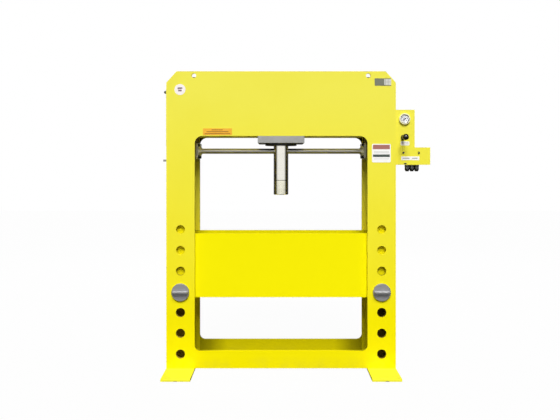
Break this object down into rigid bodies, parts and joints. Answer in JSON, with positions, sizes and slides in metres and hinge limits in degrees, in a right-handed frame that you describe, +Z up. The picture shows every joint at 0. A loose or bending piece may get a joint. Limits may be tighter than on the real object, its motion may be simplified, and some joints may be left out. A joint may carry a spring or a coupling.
{
  "type": "hydraulic press",
  "caption": "Yellow H-frame hydraulic shop press with a cylinder under its crown, a winch-raised bed on pins, a gauge, a lever and a power unit behind.",
  "frame": {"origin": "on the floor, under the ram's axis and half way between the two frame plates", "axes": "+X to the operator's right, +Y away from the operator, +Z up"},
  "size_m": [1.736, 0.7858, 1.902],
  "materials": {
    "frame_yellow": "satin",
    "ground_steel": "ground",
    "bright_steel": "drawn",
    "chrome_rod": "polished",
    "cast_housing": "cast",
    "black_steel": "satin",
    "wire_rope": "stranded",
    "seal_rubber": "matt",
    "brass_bush": "turned",
    "black_plastic": "gloss",
    "button_steel": "turned",
    "gauge_body": "satin",
    "gauge_glass": "clear",
    "tank_paint": "satin",
    "motor_paint": "satin"
  },
  "bodies": {
    "frame": {"front_frame_plate": "frame_yellow", "rear_frame_plate": "frame_yellow", "left_side_plate": "frame_yellow", "right_side_plate": "frame_yellow", "left_foot_plate": "frame_yellow", "right_foot_plate": "frame_yellow", "crown_ribs": "frame_yellow", "access_cover": "frame_yellow", "cover_studs": "bright_steel", "head_block": "ground_steel", "head_block_screws": "black_steel", "cylinder_barrel": "frame_yellow", "cylinder_cap": "frame_yellow", "cylinder_gland": "black_steel", "rod_seal": "seal_rubber", "left_lift_cable": "wire_rope", "right_lift_cable": "wire_rope", "bearing_plates": "frame_yellow", "left_bearing_housing": "cast_housing", "right_bearing_housing": "cast_housing", "bearing_bolts": "black_steel", "crank_bush": "brass_bush", "control_panel": "frame_yellow", "control_box": "frame_yellow", "cable_glands": "black_plastic", "gauge_case": "gauge_body", "gauge_glass": "gauge_glass", "valve_body": "black_steel", "valve_yoke": "black_steel", "power_unit_shelf": "frame_yellow", "oil_tank": "tank_paint", "tank_lid": "tank_paint", "motor": "motor_paint", "pump": "cast_housing", "hydraulic_pipes": "bright_steel"},
    "ram": {"piston": "ground_steel", "piston_seal": "seal_rubber", "ram_rod": "chrome_rod", "ram_nose": "ground_steel"},
    "bed": {"bed_front_plate": "frame_yellow", "bed_rear_plate": "frame_yellow", "bed_left_diaphragm": "frame_yellow", "bed_right_diaphragm": "frame_yellow", "cable_sockets": "bright_steel"},
    "left_pin": {"left_bed_pin": "ground_steel", "left_pin_handle": "ground_steel"},
    "right_pin": {"right_bed_pin": "ground_steel", "right_pin_handle": "ground_steel"},
    "lift_shaft": {"cross_shaft": "bright_steel", "left_cable_drum": "ground_steel", "right_cable_drum": "ground_steel", "bearing_rings": "bright_steel", "lift_gear": "ground_steel"},
    "crank": {"crank_shaft": "ground_steel"},
    "needle": {"gauge_needle": "black_steel"},
    "lever": {"valve_lever": "bright_steel", "lever_knob": "black_plastic"},
    "start": {"start_button": "button_steel"},
    "stop": {"stop_button": "button_steel"},
    "filler": {"filler_cap": "black_plastic"}
  },
  "joints": [
    {"name": "ram_stroke", "type": "slide", "parent": "frame", "child": "ram", "axis": [0, 0, -1], "range_m": [-0.15, 0.11]},
    {"name": "bed_lift", "type": "slide", "parent": "frame", "child": "bed", "axis": [0, 0, 1], "range_m": [0, 0.3951], "deforming": ["left_lift_cable", "right_lift_cable"]},
    {"name": "left_pin_draw", "type": "slide", "parent": "frame", "child": "left_pin", "axis": [0, -1, 0], "range_m": [0, 0.3]},
    {"name": "right_pin_draw", "type": "slide", "parent": "frame", "child": "right_pin", "axis": [0, -1, 0], "range_m": [0, 0.3]},
    {"name": "lift_shaft_turn", "type": "hinge", "parent": "frame", "child": "lift_shaft", "pos_m": [0, 0.0655, 1.3995], "axis": [-1, 0, 0], "range_deg": [0, 566]},
    {"name": "crank_turn", "type": "hinge", "parent": "frame", "child": "crank", "pos_m": [0, 0.0655, 1.3365], "axis": [1, 0, 0], "range_deg": [0, 1415]},
    {"name": "needle_turn", "type": "hinge", "parent": "frame", "child": "needle", "pos_m": [0.787, -0.1304, 1.6], "axis": [0, 1, 0], "range_deg": [0, 270], "stiffness_Nm_per_rad": 0.001, "springref_deg": -11.46},
    {"name": "lever_tilt", "type": "hinge", "parent": "frame", "child": "lever", "pos_m": [0.775, -0.1574, 1.481], "axis": [1, 0, 0], "range_deg": [-20, 20], "stiffness_Nm_per_rad": 5},
    {"name": "start_press", "type": "slide", "parent": "frame", "child": "start", "axis": [0, 1, 0], "range_m": [0, 0.003], "stiffness_N_per_m": 800, "springref_m": -0.001},
    {"name": "stop_press", "type": "slide", "parent": "frame", "child": "stop", "axis": [0, 1, 0], "range_m": [0, 0.003], "stiffness_N_per_m": 800, "springref_m": -0.001},
    {"name": "filler_cap_turn", "type": "hinge", "parent": "frame", "child": "filler", "pos_m": [0.205, 0.3584, 1.72], "axis": [0, 0, 1], "range_deg": [0, 90]}
  ],
  "couplings": [
    {"joint": "lift_shaft_turn", "follows": "bed_lift", "rad_per_m": 25},
    {"joint": "crank_turn", "follows": "bed_lift", "rad_per_m": 62.5}
  ]
}
